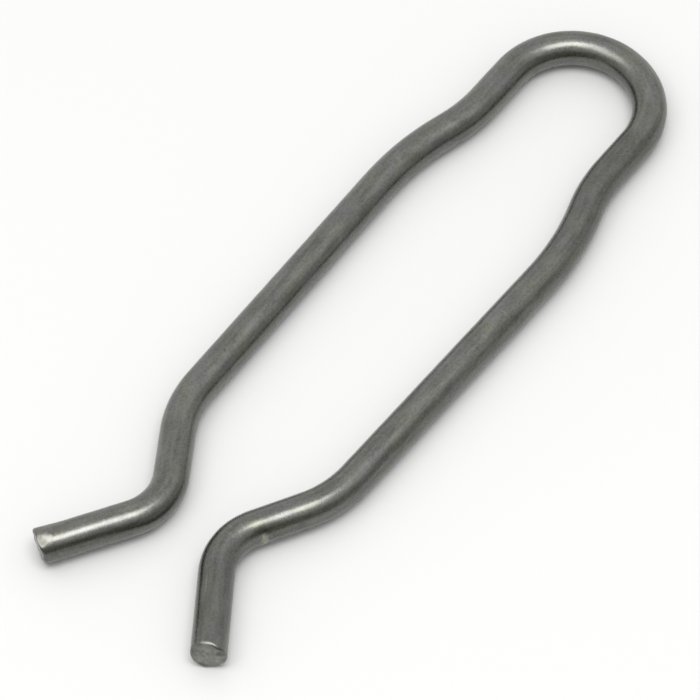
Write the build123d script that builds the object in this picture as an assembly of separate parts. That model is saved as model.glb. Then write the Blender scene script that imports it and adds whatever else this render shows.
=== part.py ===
"""Retaining clip bent from one length of round spring wire.

A round head opens into two sprung legs. Each leg steps out at a shoulder, runs
almost straight, ramps in to a pinch and flares out again to a short foot.
The clip lies flat, head toward +Y, with the ground at z = 0.
"""
from build123d import *
import os
from math import cos, radians, sin

# Wire stock, in millimetres
WIRE_DIAMETER = 2.5

# Straight runs of one side, from the head to the foot
NECK_LENGTH = 3.28
SHOULDER_LENGTH = 0.22
LEG_LENGTH = 21.05
RAMP_LENGTH = 3.67
LEFT_FOOT_LENGTH = 6.62
RIGHT_FOOT_LENGTH = 6.8

# Slopes of the runs from the clip's axis, in degrees
SHOULDER_ANGLE = 17.2
LEG_LEAN = 1.1
RAMP_ANGLE = 30.5
FOOT_ANGLE = 32.7

# Bend radii, measured to the middle of the wire
HEAD_BEND_RADIUS = 5.42
NECK_BEND_RADIUS = 12.1
SHOULDER_BEND_RADIUS = 21.5
KNEE_BEND_RADIUS = 8.46
PINCH_BEND_RADIUS = 4.15

# Rounding of the two cropped ends
LEFT_END_ROUND = 0.2
RIGHT_END_ROUND = 0.15

# Half of the head's turn is one side's share
HALF_HEAD_TURN = 90

# Signs of X on the two sides
LEFT = -1
RIGHT = 1

# The bends that both sides share, from the head on, each with its radius, then the
# slope and length of the run after it. A slope is positive where the run goes
# outward on its way to the foot.
BENDS = [
    (NECK_BEND_RADIUS, SHOULDER_ANGLE, SHOULDER_LENGTH),
    (SHOULDER_BEND_RADIUS, -LEG_LEAN, LEG_LENGTH),
    (KNEE_BEND_RADIUS, -RAMP_ANGLE, RAMP_LENGTH),
]


def direction(slope, side=RIGHT):
    """Unit vector along one side toward its foot, at a slope from the clip's axis."""
    return Vector(side * sin(radians(slope)), -cos(radians(slope)))


def straight_run(start, slope, length, side=RIGHT):
    """Straight stretch of the centreline."""
    return Line(start, start + direction(slope, side) * length)


def bend(start, radius, slope_before, slope_after):
    """Arc that leaves the run before it without a corner and ends at the next slope."""
    return JernArc(start, direction(slope_before), radius, slope_after - slope_before)


def centreline():
    """Middle of the wire from foot to foot, with the head's centre at the origin."""
    crown = Vector(0, HEAD_BEND_RADIUS)
    with BuildLine() as path:
        head = JernArc(crown, Vector(1, 0), HEAD_BEND_RADIUS, -HALF_HEAD_TURN)
        run = straight_run(head @ 1, 0, NECK_LENGTH)
        slope = 0
        for radius, next_slope, length in BENDS:
            arc = bend(run @ 1, radius, slope, next_slope)
            run = straight_run(arc @ 1, next_slope, length)
            slope = next_slope
        pinch = bend(run @ 1, PINCH_BEND_RADIUS, slope, FOOT_ANGLE)
        mirror(about=Plane.YZ)
        right_heel = pinch @ 1
        left_heel = Vector(-right_heel.X, right_heel.Y)
        straight_run(left_heel, FOOT_ANGLE, LEFT_FOOT_LENGTH, LEFT)
        straight_run(right_heel, FOOT_ANGLE, RIGHT_FOOT_LENGTH, RIGHT)
    return path.wire()


def bent_wire(path):
    """Round wire along the centreline, with square ends."""
    section = Plane(origin=path @ 0, z_dir=path % 0) * Circle(WIRE_DIAMETER / 2)
    return sweep(section, path)


def round_ends(wire):
    """Rolls the rim of each cropped end."""
    left_end = wire.faces().filter_by(GeomType.PLANE).sort_by(Axis.X)[0]
    wire = fillet(left_end.edges(), LEFT_END_ROUND)
    right_end = wire.faces().filter_by(GeomType.PLANE).sort_by(Axis.X)[-1]
    return fillet(right_end.edges(), RIGHT_END_ROUND)


def lay_flat(wire):
    """Sets the clip on the ground with the origin under the middle of its length."""
    box = wire.bounding_box()
    return Pos(0, -box.center().Y, -box.min.Z) * wire


os.makedirs("parts", exist_ok=True)
clip = lay_flat(round_ends(bent_wire(centreline())))
export_step(clip, "parts/wire_clip.step")
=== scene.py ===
import math

import bpy
import numpy as np
from mathutils import Matrix, Vector


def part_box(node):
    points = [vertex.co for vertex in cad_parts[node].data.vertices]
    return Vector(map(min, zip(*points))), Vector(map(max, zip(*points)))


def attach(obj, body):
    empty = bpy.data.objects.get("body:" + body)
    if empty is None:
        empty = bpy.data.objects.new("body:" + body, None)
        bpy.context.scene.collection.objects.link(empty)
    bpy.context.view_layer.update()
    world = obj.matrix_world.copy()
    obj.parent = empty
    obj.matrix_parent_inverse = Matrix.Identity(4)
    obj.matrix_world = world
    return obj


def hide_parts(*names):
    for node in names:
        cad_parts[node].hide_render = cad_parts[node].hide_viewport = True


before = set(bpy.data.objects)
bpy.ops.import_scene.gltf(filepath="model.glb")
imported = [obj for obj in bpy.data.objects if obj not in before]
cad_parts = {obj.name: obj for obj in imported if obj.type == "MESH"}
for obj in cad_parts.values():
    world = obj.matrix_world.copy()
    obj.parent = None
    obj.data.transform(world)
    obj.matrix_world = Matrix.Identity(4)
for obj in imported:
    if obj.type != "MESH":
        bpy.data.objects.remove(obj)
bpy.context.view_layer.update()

MM = 0.001
FULL_TURN = 2 * math.pi

# The wire and its bends, from the crown of the head down one side, in millimetres and degrees
WIRE_DIAMETER = 2.5
HEAD_BEND_RADIUS = 5.42
NECK_LENGTH = 3.28
NECK_BEND_RADIUS = 12.1
SHOULDER_ANGLE = 17.2
SHOULDER_LENGTH = 0.22
SHOULDER_BEND_RADIUS = 21.5
LEG_LEAN = 1.1
LEG_LENGTH = 21.05
KNEE_BEND_RADIUS = 8.46
RAMP_ANGLE = 30.5
RAMP_LENGTH = 3.67
PINCH_BEND_RADIUS = 4.15
FOOT_ANGLE = 32.7
LEFT_FOOT_LENGTH = 6.62
RIGHT_FOOT_LENGTH = 6.8
END_ROUND = 0.2

# The camera, from the photograph, and how near and far it sees, in millimetres and degrees
CAMERA_SWING = 36.53
CAMERA_ELEVATION = 54.24
CAMERA_DISTANCE = 385.0
CAMERA_TARGET = (-0.109, -3.395, 1.25)
SENSOR_WIDTH = 36.0
PHOTO_WIDTH_AT_TARGET = 48.183
CAMERA_NEAR = 10.0
CAMERA_FAR = 20000.0

WIRE_RADIUS = WIRE_DIAMETER / 2
UP = np.array([0.0, 0.0, 1.0])


def smooth_step(start, end, value):
    """0 as far as the start, 1 from the end on, and a soft slope between them."""
    share = np.clip((value - start) / (end - start), 0.0, 1.0)
    return share * share * (3 - 2 * share)


def hump(value, centre, half_width):
    """A smooth hump of height 1 round a centre."""
    return np.exp(-((value - centre) / half_width) ** 2)


def lobe(degrees, sharpness):
    """1 at 0 degrees, falling to 0 at 180."""
    return ((1 + np.cos(np.radians(degrees))) / 2) ** sharpness


def turn_from(angle, degrees):
    """Signed turn round the wire from a place given in degrees, in degrees."""
    return (np.degrees(angle) - degrees + 180) % 360 - 180


# The bent centreline

def stretches():
    """One side as stretches: the slopes at both ends and the length of each.

    The last one is the foot. It has no length here, because the two feet differ, and runs on.
    """
    bends = [
        (NECK_BEND_RADIUS, SHOULDER_ANGLE, SHOULDER_LENGTH),
        (SHOULDER_BEND_RADIUS, -LEG_LEAN, LEG_LENGTH),
        (KNEE_BEND_RADIUS, -RAMP_ANGLE, RAMP_LENGTH),
        (PINCH_BEND_RADIUS, FOOT_ANGLE, 0.0),
    ]
    crown_slope = math.radians(90)
    found = [(crown_slope, 0.0, HEAD_BEND_RADIUS * crown_slope), (0.0, 0.0, NECK_LENGTH)]
    slope = 0.0
    for radius, next_degrees, length in bends:
        next_slope = math.radians(next_degrees)
        found.append((slope, next_slope, radius * abs(next_slope - slope)))
        found.append((next_slope, next_slope, length))
        slope = next_slope
    return found


HEEL = sum(length for _, _, length in stretches())
LEFT_TIP = -(HEEL + LEFT_FOOT_LENGTH)
RIGHT_TIP = HEEL + RIGHT_FOOT_LENGTH


def run_along(start, slope, next_slope, length, travel):
    """Points and slopes after each travel into one stretch, which is straight or an arc."""
    turn = next_slope - slope
    if turn == 0:
        slopes = np.full_like(travel, slope)
        across = np.sin(slope) * travel
        along = -np.cos(slope) * travel
    else:
        slopes = slope + turn * travel / length
        radius = length / turn
        across = radius * (np.cos(slope) - np.cos(slopes))
        along = radius * (np.sin(slope) - np.sin(slopes))
    return start[0] + across, start[1] + along, slopes


def side_at(distance):
    """Place and slope of the centreline on the right side, this far from the crown."""
    across, along, slopes = (np.zeros_like(distance) for _ in range(3))
    start = (0.0, HEAD_BEND_RADIUS)
    passed = 0.0
    for slope, next_slope, length in stretches():
        here = distance >= passed
        found = run_along(start, slope, next_slope, length, distance[here] - passed)
        across[here], along[here], slopes[here] = found
        ended = run_along(start, slope, next_slope, length, np.array([length]))
        start = (float(ended[0][0]), float(ended[1][0]))
        passed += length
    return across, along, slopes


def centreline(place):
    """Points and outward directions for places from LEFT_TIP to RIGHT_TIP."""
    across, along, slopes = side_at(np.abs(place))
    side = np.where(place < 0, -1.0, 1.0)
    flat = np.zeros_like(place)
    points = np.stack([side * across, along, flat], -1)
    outward = np.stack([side * np.cos(slopes), np.sin(slopes), flat], -1)
    return points, outward


# Wear on the wire, in millimetres along it and degrees round it

# Heights of the faint waves left by drawing
LONG_WAVE = 0.0030
SHORT_WAVE = 0.0020

# Dents and the metal that one of them raised: height, place, half length, turn and half width
RAMP_NICK = (-0.045, 51.35, 0.30, 10, 30)
RAISED_LIP = (0.02, 50.85, 0.25, 10, 34)
HEAD_DENT = (-0.010, -3.3, 0.6, 132, 18)

# The left tip's crushed top, which the cropping tool left flat and spread sideways
CRUSH_DEPTH = 0.11
CRUSH_LENGTH = 0.9
CRUSH_TURN = 104
CRUSH_CURVE = 1.4
SPREAD = 0.09
SPREAD_LENGTH = 2.2
SPREAD_TURN = 25
SPREAD_HALF_WIDTH = 45

# The two crops: how far the left one leans under and hangs over, and how far the right one
# slants, at which turn and how sharply
LEFT_LEAN = 0.12
LEFT_OVERHANG = 0.08
RIGHT_SLANT = 0.34
SLANT_TURN = 130
SLANT_SHARPNESS = 3

# How far from its tip a crop's shape starts, and how far from it the shape is whole
CROP_REACH = (1.2, 0.1)

# Ripples round the crops: height, number round the wire and start in radians
CROP_RIPPLES = [(0.02, 5, 1.0), (0.015, 9, 2.0)]

# The crushing leaves alone the middle of the crop, and the sides that face away from it
LEAST_REACH = 0.5
LEAST_FACING = 0.2


def waves(place, angle):
    """Height of the faint waves in the wire's skin, which don't repeat within its length."""
    long_wave = np.sin(place * 1.9 + 2 * np.cos(angle)) * np.sin(place * 0.53 + 1.1)
    short_wave = np.sin(place * 3.7 + 1.3 * np.sin(angle + 0.4))
    return LONG_WAVE * long_wave + SHORT_WAVE * short_wave


def dent(place, angle, height, centre, half_length, turn, half_width):
    """Height of one dent in the wire's skin."""
    round_wire = hump(turn_from(angle, turn), 0, half_width)
    return height * hump(place, centre, half_length) * round_wire


def worn_radii(place, radii, angle):
    """Radii with the waves and dents, and with the crushed top of the left tip."""
    reach = radii / WIRE_RADIUS
    height = waves(place, angle)
    for mark in (RAMP_NICK, RAISED_LIP, HEAD_DENT):
        height = height + dent(place, angle, *mark)
    spread = SPREAD * smooth_step(LEFT_TIP + SPREAD_LENGTH, LEFT_TIP, place)
    height = height + spread * hump(turn_from(angle, SPREAD_TURN), 0, SPREAD_HALF_WIDTH)
    shaped = radii + reach * height
    crushed = smooth_step(LEFT_TIP + CRUSH_LENGTH, LEFT_TIP, place) ** CRUSH_CURVE
    facing = np.maximum(np.cos(np.radians(turn_from(angle, CRUSH_TURN))), LEAST_FACING)
    flat = (WIRE_RADIUS - CRUSH_DEPTH * crushed) / facing
    return np.where(reach > LEAST_REACH, np.minimum(shaped, flat), shaped)


def worn_places(place, radii, angle):
    """Places along the wire, moved near the tips to the shapes of the two crops."""
    reach = radii / WIRE_RADIUS
    ripple = sum(height * np.sin(count * angle + start) for height, count, start in CROP_RIPPLES)
    slant = RIGHT_SLANT * lobe(turn_from(angle, SLANT_TURN), SLANT_SHARPNESS)
    lean = LEFT_LEAN * (1 - reach * np.sin(angle)) - LEFT_OVERHANG
    far, near = CROP_REACH
    near_right = smooth_step(RIGHT_TIP - far, RIGHT_TIP - near, place)
    near_left = smooth_step(LEFT_TIP + far, LEFT_TIP + near, place)
    return place - reach * near_right * (slant + ripple) + near_left * (lean + reach * ripple)


# The wire's skin, as rings along it

AROUND = 72
BODY_RINGS = 1050
RIM_RINGS = 8
FACE_RINGS = 8
FINE_STEPS = 20000

# Where the rings are denser, at the tips and the nick: place, half length and how much denser
DENSER = [(LEFT_TIP, 1.3, 3.0), (RIGHT_TIP, 1.1, 3.0), (51.3, 1.0, 1.5)]

# The square sheet that the skin is unrolled on
STRIPS = 4
MARGIN = 0.012


def body_places():
    """Places of the body's rings, closer together at the tips and at the nick."""
    fine = np.linspace(LEFT_TIP + END_ROUND, RIGHT_TIP - END_ROUND, FINE_STEPS)
    closeness = 1 + sum(more * hump(fine, place, half_length) for place, half_length, more in DENSER)
    passed = np.concatenate([[0], np.cumsum(closeness[1:] + closeness[:-1])])
    return np.interp(np.linspace(0, passed[-1], BODY_RINGS), passed, fine)


def tip_rings(tip, inward):
    """Rings of one cropped end, from its rim to its middle: each one's place and radius."""
    rolls = np.linspace(0, math.pi / 2, RIM_RINGS + 1)[1:]
    shares = np.linspace(1, 0, FACE_RINGS + 1)[1:-1]
    rim = [
        (tip + inward * END_ROUND * (1 - math.sin(roll)), WIRE_RADIUS - END_ROUND * (1 - math.cos(roll)))
        for roll in rolls
    ]
    return rim + [(tip, (WIRE_RADIUS - END_ROUND) * share) for share in shares]


def ring_profile():
    """Every ring from the left tip to the right one: its place and radius."""
    body = [(place, WIRE_RADIUS) for place in body_places()]
    return np.array(tip_rings(LEFT_TIP, 1)[::-1] + body + tip_rings(RIGHT_TIP, -1))


def skin_points(profile):
    """Points of the rings and then of both tips, on the bent wire and on the straight one."""
    angle = np.arange(AROUND) * FULL_TURN / AROUND
    place = np.repeat(profile[:, :1], AROUND, 1)
    radii = worn_radii(place, np.repeat(profile[:, 1:], AROUND, 1), angle)
    points, outward = centreline(worn_places(place, radii, angle))
    across = radii * np.cos(angle)
    upward = radii * np.sin(angle)
    bent = (points + across[..., None] * outward + upward[..., None] * UP).reshape(-1, 3)
    straight = np.stack([across, upward, place], -1).reshape(-1, 3)
    tips = worn_places(np.array([LEFT_TIP, RIGHT_TIP]), np.zeros(2), np.zeros(2))
    bent = np.concatenate([bent, centreline(tips)[0]])
    straight = np.concatenate([straight, [[0, 0, LEFT_TIP], [0, 0, RIGHT_TIP]]])
    return bent, straight


def skin_faces(profile):
    """Faces of the skin, and the corners of each on the unrolled skin.

    A corner is the travel at which its face starts, its own travel and its step round the wire.
    The unrolled skin's whole length comes last.
    """
    tip_step = WIRE_RADIUS / FACE_RINGS
    lengths = np.linalg.norm(np.diff(profile, axis=0), axis=1)
    travel = tip_step + np.concatenate([[0], np.cumsum(lengths)])
    end = travel[-1] + tip_step
    faces, corners = [], []
    for ring in range(len(profile) - 1):
        near = ring * AROUND
        far = near + AROUND
        start, finish = travel[ring], travel[ring + 1]
        for step in range(AROUND):
            following = (step + 1) % AROUND
            faces.append((near + step, near + following, far + following, far + step))
            corners += [(start, start, step), (start, start, step + 1)]
            corners += [(start, finish, step + 1), (start, finish, step)]
    left_tip = len(profile) * AROUND
    right_tip = left_tip + 1
    last = left_tip - AROUND
    for step in range(AROUND):
        following = (step + 1) % AROUND
        faces.append((left_tip, following, step))
        corners += [(0, 0, step + 0.5), (0, travel[0], step + 1), (0, travel[0], step)]
        faces.append((right_tip, last + step, last + following))
        corners += [(end, end, step + 0.5), (end, travel[-1], step), (end, travel[-1], step + 1)]
    return faces, np.array(corners), end


def on_sheet(corners, end):
    """Where the corners lie on a square sheet that holds the unrolled skin as strips.

    A strip's far end has twice the margin, for the faces that run past it.
    """
    start, travel, step = corners.T
    length = end / STRIPS
    strip = np.minimum(np.floor(start / length), STRIPS - 1)
    along = (travel - strip * length) / length * (1 - 3 * MARGIN) + MARGIN
    across = (strip + MARGIN * STRIPS / 2 + step / AROUND * (1 - MARGIN * STRIPS)) / STRIPS
    return np.stack([along, across], -1)


def lay_on_frame(points):
    """Moves the wire from the head's centre to where the frame's solid lies, in metres."""
    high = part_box("wire_clip")[1]
    shift = np.array([0.0, high.y / MM - HEAD_BEND_RADIUS - WIRE_RADIUS, WIRE_RADIUS])
    return (points + shift) * MM


def build_wire():
    """The wire as one smooth-shaded object, which also holds its places on the straight wire."""
    profile = ring_profile()
    bent, straight = skin_points(profile)
    faces, corners, end = skin_faces(profile)
    mesh = bpy.data.meshes.new("spring_wire")
    mesh.from_pydata(lay_on_frame(bent).tolist(), [], faces)
    drawn = mesh.attributes.new("straight_wire", "FLOAT_VECTOR", "POINT")
    drawn.data.foreach_set("vector", straight.astype(np.float32).ravel())
    sheet = mesh.uv_layers.new(name="OFBake")
    sheet.data.foreach_set("uv", on_sheet(corners, end).astype(np.float32).ravel())
    mesh.validate()
    mesh.shade_smooth()
    wire = bpy.data.objects.new("spring_wire", mesh)
    bpy.context.scene.collection.objects.link(wire)
    return wire


# Nodes of a finish

# How a spot fades, as places and levels on a ramp that is two of its radii long
SPOT_FADE = ((0.3, 1.0), (0.6, 0.0))


class Value:
    """A socket in a finish's nodes. Sums on it add Math nodes."""

    def __init__(self, finish, socket):
        self.finish = finish
        self.socket = socket

    def maths(self, operation, first, second):
        return self.finish.node("ShaderNodeMath", {"operation": operation}, {0: first, 1: second})

    def __add__(self, other):
        return self.maths("ADD", self, other)

    __radd__ = __add__

    def __sub__(self, other):
        return self.maths("SUBTRACT", self, other)

    def __rsub__(self, other):
        return self.maths("SUBTRACT", other, self)

    def __mul__(self, other):
        return self.maths("MULTIPLY", self, other)

    __rmul__ = __mul__


class Finish:
    """One material and its nodes."""

    def __init__(self, name):
        self.material = bpy.data.materials.new(name)
        self.material.use_nodes = True
        self.tree = self.material.node_tree
        self.tree.nodes.clear()

    def node(self, kind, settings=None, sockets=None, output=0):
        """Adds a node: its settings first, then its sockets' values or links. Gives an output."""
        made = self.tree.nodes.new(kind)
        for name, value in (settings or {}).items():
            if name == "stops":
                self.set_stops(made.color_ramp, value)
            else:
                setattr(made, name, value)
        for name, value in (sockets or {}).items():
            if isinstance(value, Value):
                self.tree.links.new(value.socket, made.inputs[name])
            else:
                made.inputs[name].default_value = value
        return Value(self, made.outputs[output]) if made.outputs else None

    @staticmethod
    def set_stops(ramp, stops):
        """Gives a ramp its places and grey levels."""
        while len(ramp.elements) < len(stops):
            ramp.elements.new(1.0)
        for element, (place, level) in zip(ramp.elements, stops):
            element.position = place
            element.color = (level, level, level, 1)

    def surface(self, sockets):
        """Ends the finish with a Principled shader that has these values or links."""
        shader = self.node("ShaderNodeBsdfPrincipled", {}, sockets)
        self.node("ShaderNodeOutputMaterial", {}, {"Surface": shader})
        return self.material

    def attribute(self, name, output):
        """An attribute of the mesh: output 1 is a vector and 2 is a number."""
        return self.node("ShaderNodeAttribute", {"attribute_name": name}, {}, output)

    def mix(self, share, first, second, blend="MIX"):
        """A colour between two colours."""
        settings = {"data_type": "RGBA", "clamp_factor": True, "blend_type": blend}
        return self.node("ShaderNodeMix", settings, {0: share, 6: first, 7: second}, 2)

    def highest(self, first, *others):
        """The largest of some values."""
        for other in others:
            first = first.maths("MAXIMUM", first, other)
        return first

    def ramp(self, value, *stops):
        """A grey level for each value, by stops of place and level."""
        return self.node("ShaderNodeValToRGB", {"stops": stops}, {"Fac": value})

    def vectors(self, operation, *given, output=0):
        """Vector maths on one vector or more."""
        sockets = dict(enumerate(given))
        return self.node("ShaderNodeVectorMath", {"operation": operation}, sockets, output)

    def noise(self, vector, along, scale, detail, roughness):
        """Soft noise, about 0.5. Along is under 1 where it is drawn out along the wire."""
        drawn = self.vectors("MULTIPLY", vector, (1.0, 1.0, along))
        sockets = {"Vector": drawn, "Scale": scale, "Detail": detail, "Roughness": roughness}
        return self.node("ShaderNodeTexNoise", {}, sockets)

    def ragged(self, vector, scale, reach):
        """The vector moved about by up to half the reach, so that spots on it get ragged edges."""
        cloud = self.node("ShaderNodeTexNoise", {}, {"Vector": vector, "Scale": scale}, 1)
        moved = self.vectors("MULTIPLY_ADD", cloud, (reach,) * 3, vector)
        return self.vectors("SUBTRACT", moved, (reach / 2,) * 3)

    def spot(self, vector, centre, radii):
        """1 in the heart of an egg-shaped spot on the straight wire, and 0 past its edge."""
        shifted = self.vectors("SUBTRACT", vector, centre)
        scaled = self.vectors("MULTIPLY", shifted, tuple(1 / radius for radius in radii))
        far = self.vectors("LENGTH", scaled, output=1)
        return self.ramp(far * 0.5, *SPOT_FADE)

    def spots(self, vector, patches):
        """The sum of some spots, each given by its centre and radii."""
        return sum(self.spot(vector, *patch) for patch in patches)


def on_wire(place, degrees):
    """Centre of a mark on the straight wire's skin."""
    turn = math.radians(degrees)
    return (WIRE_RADIUS * math.cos(turn), WIRE_RADIUS * math.sin(turn), place)


# Drawn spring steel

# What red, green and blue keep of a grey level
STEEL_TINT = (0.992, 1.0, 0.94)


def steel_grey(level):
    """A grey with a trace of green."""
    return tuple(level * share for share in STEEL_TINT) + (1,)


DARK_STEEL = steel_grey(0.106)
PALE_STEEL = steel_grey(0.209)
BLUE_TRACE = (1.005, 0.993, 1.05, 1)
OLIVE_TRACE = (0.995, 1.007, 0.91, 1)
# Pale fresh steel, also used for the painted highlights on the crushed tip and the right rim
FRESH_STEEL_AND_HIGHLIGHT = (0.595, 0.59, 0.54, 1)
BRUISED_STEEL = (0.50, 0.52, 0.37, 1)
# Dark of stains, also used for the painted shade beside the bruise
STAIN_AND_SHADE_COLOUR = (0.05, 0.05, 0.042, 1)

# Noises on the straight wire: how far drawn out along it, scale, detail and roughness
NOISES = {
    "grain": (0.07, 9.0, 3.0, 0.6),
    "streaks": (0.10, 3.0, 3.0, 0.6),
    "mottle": (1.0, 5.5, 4.0, 0.7),
    "blotches": (0.5, 1.3, 3.0, 0.6),
    "hue": (0.6, 0.9, 3.0, 0.6),
    "crumbs": (1.0, 3.2, 5.0, 0.75),
}
NOISE_MEAN = 0.5

# The noise that makes spots ragged: its scale, and how widely it moves them in millimetres
RAGGED_SCALE = 2.4
RAGGED_REACH = 0.5

# How the noises make up the tone, and the ends of the ramps that spread the tone and the hue
TONE_SHARES = {"streaks": 0.34, "mottle": 0.40, "blotches": 0.26}
TONE_RAMP = ((0.36, 0.0), (0.64, 1.0))
HUE_RAMP = ((0.34, 0.0), (0.66, 1.0))

# The polish: its middle, and how far the mottle, the streaks and the crops change it
STEEL_ROUGHNESS = 0.28
MOTTLE_ROUGHNESS = 0.14
STREAK_ROUGHNESS = 0.12
CROP_ROUGHNESS = 0.20

# The relief: its height in metres, and how much of it each kind of mark takes
RELIEF = 0.0020 * MM
GRAIN_RELIEF = 0.8
MOTTLE_RELIEF = 0.35
CRUMB_RELIEF = 2.0
PIT_RELIEF = 1.2

# Patches on the straight wire: the centre and radii of each, in millimetres
LEFT_CRUSH = (on_wire(LEFT_TIP + 0.42, 100), (0.62, 0.5, 0.5))
# The bright spot on the crushed top: fresh metal, made paler still as a painted highlight
LEFT_CRUSH_FRESH_AND_GLINT = (on_wire(LEFT_TIP + 0.66, 98), (0.42, 0.36, 0.30))
LEFT_CROP = ((0.0, 0.1, LEFT_TIP), (0.95, 0.85, 0.2))
RIGHT_CROP = ((0.0, 0.0, RIGHT_TIP), (1.2, 1.2, 0.2))
# The right crop's rim: a line of paler fresh metal that is also a painted highlight along the rim
RIGHT_RIM_FRESH_AND_HIGHLIGHT = (on_wire(RIGHT_TIP - 0.05, 97), (0.66, 0.24, 0.22))
BRUISE = (on_wire(51.35, 2), (0.5, 0.75, 0.26))
# A painted shade beside the bruise and the nick
PAINTED_SHADE_BY_BRUISE = (on_wire(51.2, 48), (0.5, 0.3, 0.9))
RIGHT_CROP_SMEAR = ((0.78, 0.40, RIGHT_TIP), (0.34, 0.36, 0.3))
RIGHT_CROP_SMUDGE = ((-0.55, -0.90, RIGHT_TIP), (0.42, 0.28, 0.3))
DULL_FOOT = ((0.0, 0.0, 58.8), (3.0, 3.0, 4.6))
DULL_NECK = ((0.0, 0.0, 13.0), (3.0, 3.0, 7.0))

# Pits: place along the wire, turn round it and radius
PITS = [(4.01, 64, 0.11), (8.21, 46, 0.12), (10.24, 72, 0.10), (-41.0, 96, 0.10), (30.5, 70, 0.09)]

# Faint scratches: place along the wire, turn round it and radii
SCRATCHES = [
    (53.2, 118, (0.60, 0.30, 0.035)),
    (53.7, 92, (0.50, 0.30, 0.030)),
    (52.6, 80, (0.40, 0.30, 0.035)),
    (57.8, 116, (0.07, 0.20, 0.90)),
    (-20.5, 100, (0.45, 0.30, 0.035)),
    (27.0, 84, (0.40, 0.30, 0.030)),
]


# Shares of fresh metal, all over a patch and in the crumbs on it; on the crushed tip's bright spot and
# the right rim the pale colour is also a painted highlight
LEFT_CRUSH_IN_CRUMBS = 0.22
CRUSH_GLINT_IN_CRUMBS = 0.68
LEFT_CROP_ALL_OVER = 0.16
LEFT_CROP_IN_CRUMBS = 0.66
RIGHT_CROP_ALL_OVER = 0.25
RIGHT_CROP_IN_CRUMBS = 1.3
RIGHT_RIM_HIGHLIGHT_SHARE = 0.30
SCRATCHES_ALL_OVER = 0.16

# How far the bruise shows, how far the stain covers each place, and how dark the painted shade beside
# the bruise is
BRUISE_SHOWS = 0.34
PITS_STAINED = 0.5
SMEARS_STAINED = 0.55
FOOT_STAINED = 0.24
NECK_STAINED = 0.20
PAINTED_SHADE_DARKNESS = 0.40


def drawn_colour(steel, noises):
    """The dull grey of drawn wire, uneven in level and a little in hue."""
    tone = sum(share * noises[name] for name, share in TONE_SHARES.items())
    grey = steel.mix(steel.ramp(tone, *TONE_RAMP), DARK_STEEL, PALE_STEEL)
    tint = steel.mix(steel.ramp(noises["hue"], *HUE_RAMP), BLUE_TRACE, OLIVE_TRACE)
    return steel.mix(1.0, grey, tint, "MULTIPLY")


def fresh_metal_and_highlights(steel, wire, ragged, crumbs):
    """How rough the crops and the crushed tip are, and how far fresh metal shows there, with the painted
    highlights on the crushed tip and the right rim.
    """
    left_crush = steel.spot(ragged, *LEFT_CRUSH)
    crush_fresh_and_glint = steel.spot(ragged, *LEFT_CRUSH_FRESH_AND_GLINT)
    left_crop = steel.spot(ragged, *LEFT_CROP)
    right_crop = steel.spot(ragged, *RIGHT_CROP)
    rim_fresh_and_highlight = steel.spot(wire, *RIGHT_RIM_FRESH_AND_HIGHLIGHT)
    scratches = [(on_wire(place, degrees), radii) for place, degrees, radii in SCRATCHES]
    rough = steel.highest(left_crush, left_crop, right_crop, rim_fresh_and_highlight)
    fresh_and_highlight = steel.highest(
        left_crush * crumbs * LEFT_CRUSH_IN_CRUMBS,
        crush_fresh_and_glint * crumbs * CRUSH_GLINT_IN_CRUMBS,
        left_crop * (LEFT_CROP_ALL_OVER + crumbs * LEFT_CROP_IN_CRUMBS),
        rim_fresh_and_highlight * RIGHT_RIM_HIGHLIGHT_SHARE,
        right_crop * ((crumbs - NOISE_MEAN) * RIGHT_CROP_IN_CRUMBS + RIGHT_CROP_ALL_OVER),
        steel.spots(wire, scratches) * SCRATCHES_ALL_OVER,
    )
    return rough, fresh_and_highlight


def stains_and_painted_shade(steel, wire, ragged, pits):
    """How far the dark of pits, smears and dull stretches covers the steel, and the painted shade beside
    the bruise.
    """
    return steel.highest(
        pits * PITS_STAINED,
        steel.spot(ragged, *RIGHT_CROP_SMEAR) * SMEARS_STAINED,
        steel.spot(ragged, *RIGHT_CROP_SMUDGE) * SMEARS_STAINED,
        steel.spot(wire, *DULL_FOOT) * FOOT_STAINED + steel.spot(wire, *DULL_NECK) * NECK_STAINED,
        steel.spot(ragged, *PAINTED_SHADE_BY_BRUISE) * PAINTED_SHADE_DARKNESS,
    )


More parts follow.
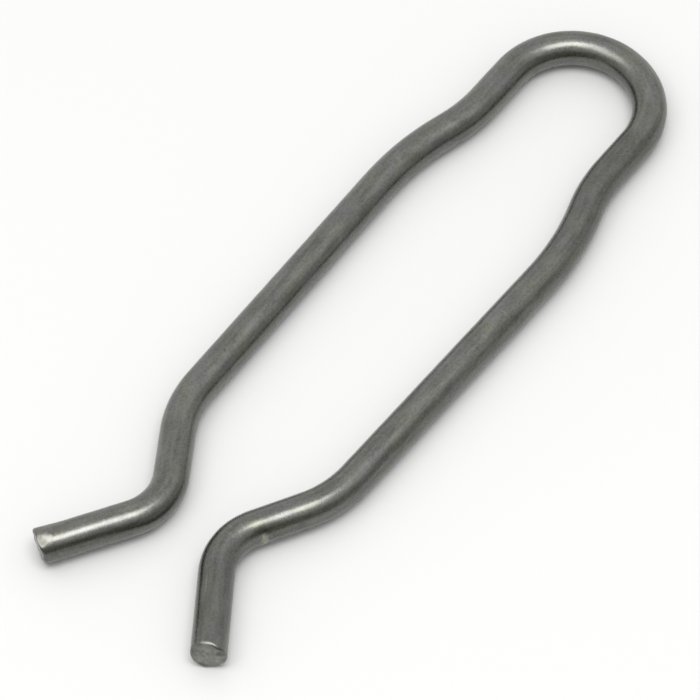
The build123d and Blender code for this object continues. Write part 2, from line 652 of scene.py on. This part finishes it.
def drawn_steel():
    """Drawn spring wire: dull grey, with grain along it, mottling, pits and fresh crops, painted
    highlights on the crushed tip and the right rim, and a painted shade beside the bruise.
    """
    steel = Finish("drawn_spring_steel")
    wire = steel.attribute("straight_wire", 1)
    noises = {name: steel.noise(wire, *given) for name, given in NOISES.items()}
    ragged = steel.ragged(wire, RAGGED_SCALE, RAGGED_REACH)
    pits = steel.spots(wire, [(on_wire(place, turn), (radius,) * 3) for place, turn, radius in PITS])
    rough, fresh_and_highlight = fresh_metal_and_highlights(steel, wire, ragged, noises["crumbs"])
    colour = steel.mix(fresh_and_highlight, drawn_colour(steel, noises), FRESH_STEEL_AND_HIGHLIGHT)
    colour = steel.mix(steel.spot(ragged, *BRUISE) * BRUISE_SHOWS, colour, BRUISED_STEEL)
    colour = steel.mix(stains_and_painted_shade(steel, wire, ragged, pits), colour, STAIN_AND_SHADE_COLOUR)
    streaks, mottle = noises["streaks"], noises["mottle"]
    roughness = STEEL_ROUGHNESS + MOTTLE_ROUGHNESS * (mottle - NOISE_MEAN)
    roughness = roughness + STREAK_ROUGHNESS * (streaks - NOISE_MEAN) + CROP_ROUGHNESS * rough
    height = GRAIN_RELIEF * noises["grain"] + MOTTLE_RELIEF * mottle
    height = height + CRUMB_RELIEF * rough * noises["crumbs"] - PIT_RELIEF * pits
    bump = steel.node("ShaderNodeBump", {}, {"Strength": 1.0, "Distance": RELIEF, "Height": height})
    return steel.surface(
        {"Base Color": colour, "Metallic": 1.0, "Roughness": roughness, "Normal": bump}
    )


# The studio, in metres and degrees, where azimuth 0 is the camera's side

WHITE = (1, 1, 1, 1)
BLACK = (0, 0, 0, 1)

FLOOR_HALF = 3.0
FLOOR_COLOUR = (0.586, 0.586, 0.588, 1)
FLOOR_ROUGHNESS = 0.45
FLOOR_GLOSS = 0.9

# Soft lights: azimuth, elevation, width, depth and brightness
LIGHT_DISTANCE = 0.6
LIGHT_COLOUR = (1.0, 0.995, 0.97)
SOFT_LIGHTS = {
    "main_light": (39, 78, 0.30, 0.27, 6.0),
    "side_light": (-68, 66, 0.42, 0.36, 2.2),
}

# The screen that the metal mirrors, dark in front at low elevations
SCREEN_RADIUS = 0.7
SCREEN_LOW = -3.0
SCREEN_HIGH = 54.0
SCREEN_COLUMNS = 72
SCREEN_ROWS = 24
SCREEN_DARK = (0.182, 0.187, 0.144, 1)
DARKEST_AZIMUTH = 8
DARK_SHARPNESS = 1.5
DARK_FADE = (25, 53)


def direction_to(azimuth, elevation):
    """Unit vector: azimuth 0 is where the camera stands, and turns to its right."""
    turn = math.radians(CAMERA_SWING + azimuth)
    rise = math.radians(elevation)
    return Vector((math.sin(turn) * math.cos(rise), -math.cos(turn) * math.cos(rise), math.sin(rise)))


def place_camera():
    """The camera, where the photograph was taken from."""
    data = bpy.data.cameras.new("camera")
    data.sensor_width = SENSOR_WIDTH
    data.lens = SENSOR_WIDTH * CAMERA_DISTANCE / PHOTO_WIDTH_AT_TARGET
    data.clip_start = CAMERA_NEAR * MM
    data.clip_end = CAMERA_FAR * MM
    camera = bpy.data.objects.new("camera", data)
    bpy.context.scene.collection.objects.link(camera)
    back = direction_to(0, CAMERA_ELEVATION)
    camera.location = (Vector(CAMERA_TARGET) + back * CAMERA_DISTANCE) * MM
    camera.rotation_mode = "QUATERNION"
    camera.rotation_quaternion = (-back).to_track_quat("-Z", "Y")
    bpy.context.scene.camera = camera


def white_room():
    """An even white room round the clip."""
    world = bpy.data.worlds.new("white_room")
    world.use_nodes = True
    background = world.node_tree.nodes["Background"]
    background.inputs["Color"].default_value = WHITE
    background.inputs["Strength"].default_value = 1.0
    bpy.context.scene.world = world


def stage_mesh(name, points, faces, material, levels=None):
    """A sheet that stands round the clip, with a level at each point where they are given."""
    mesh = bpy.data.meshes.new(name)
    mesh.from_pydata(points, [], faces)
    if levels is not None:
        mesh.attributes.new("level", "FLOAT", "POINT").data.foreach_set("value", levels)
    mesh.materials.append(material)
    sheet = bpy.data.objects.new(name, mesh)
    bpy.context.scene.collection.objects.link(sheet)
    return sheet


def pale_card():
    """Pale card with a slight gloss, which shows where it is seen at a low angle."""
    card = Finish("pale_card")
    return card.surface({
        "Base Color": FLOOR_COLOUR,
        "Roughness": FLOOR_ROUGHNESS,
        "Specular IOR Level": FLOOR_GLOSS,
    })


def lay_floor():
    """A wide pale sheet under the clip."""
    half = FLOOR_HALF
    corners = [(-half, -half, 0), (half, -half, 0), (half, half, 0), (-half, half, 0)]
    stage_mesh("pale_floor", corners, [(0, 1, 2, 3)], pale_card())


def hang_soft_light(name, azimuth, elevation, width, depth, brightness):
    """A soft rectangular light that faces the clip."""
    data = bpy.data.lights.new(name, "AREA")
    data.shape = "RECTANGLE"
    data.size = width
    data.size_y = depth
    data.energy = brightness * width * depth * math.pi
    data.color = LIGHT_COLOUR
    light = bpy.data.objects.new(name, data)
    bpy.context.scene.collection.objects.link(light)
    toward = direction_to(azimuth, elevation)
    across = direction_to(90, 0)
    across = (across - toward * across.dot(toward)).normalized()
    upright = toward.cross(across)
    light.location = toward * LIGHT_DISTANCE
    light.rotation_mode = "QUATERNION"
    light.rotation_quaternion = Matrix((across, upright, toward)).transposed().to_quaternion()
    light.visible_camera = False


def glowing_cloth():
    """Cloth that glows from dark to white by the level at each point of its mesh."""
    cloth = Finish("glowing_cloth")
    glow = cloth.mix(cloth.attribute("level", 2), SCREEN_DARK, WHITE)
    return cloth.surface({
        "Base Color": BLACK,
        "Specular IOR Level": 0.0,
        "Emission Color": glow,
        "Emission Strength": 1.0,
    })


def stand_screen():
    """A screen round the clip for the metal to mirror, dark on the camera's side."""
    points, levels, faces = [], [], []
    for column in range(SCREEN_COLUMNS):
        azimuth = 360 * column / SCREEN_COLUMNS
        dark = lobe(azimuth - DARKEST_AZIMUTH, DARK_SHARPNESS)
        for row in range(SCREEN_ROWS + 1):
            elevation = SCREEN_LOW + (SCREEN_HIGH - SCREEN_LOW) * row / SCREEN_ROWS
            points.append(tuple(direction_to(azimuth, elevation) * SCREEN_RADIUS))
            levels.append(float(1 - dark * (1 - smooth_step(*DARK_FADE, elevation))))
        for row in range(SCREEN_ROWS):
            first = column * (SCREEN_ROWS + 1) + row
            second = (column + 1) % SCREEN_COLUMNS * (SCREEN_ROWS + 1) + row
            faces.append((first, second, second + 1, first + 1))
    screen = stage_mesh("screen", points, faces, glowing_cloth(), levels)
    screen.visible_camera = False
    screen.visible_diffuse = False
    screen.visible_shadow = False


# The clip and its studio

wire = build_wire()
wire.data.materials.append(drawn_steel())
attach(wire, "root")
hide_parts("wire_clip")

white_room()
lay_floor()
for name, placing in SOFT_LIGHTS.items():
    hang_soft_light(name, *placing)
stand_screen()
place_camera()
bpy.context.scene.view_settings.view_transform = "Standard"
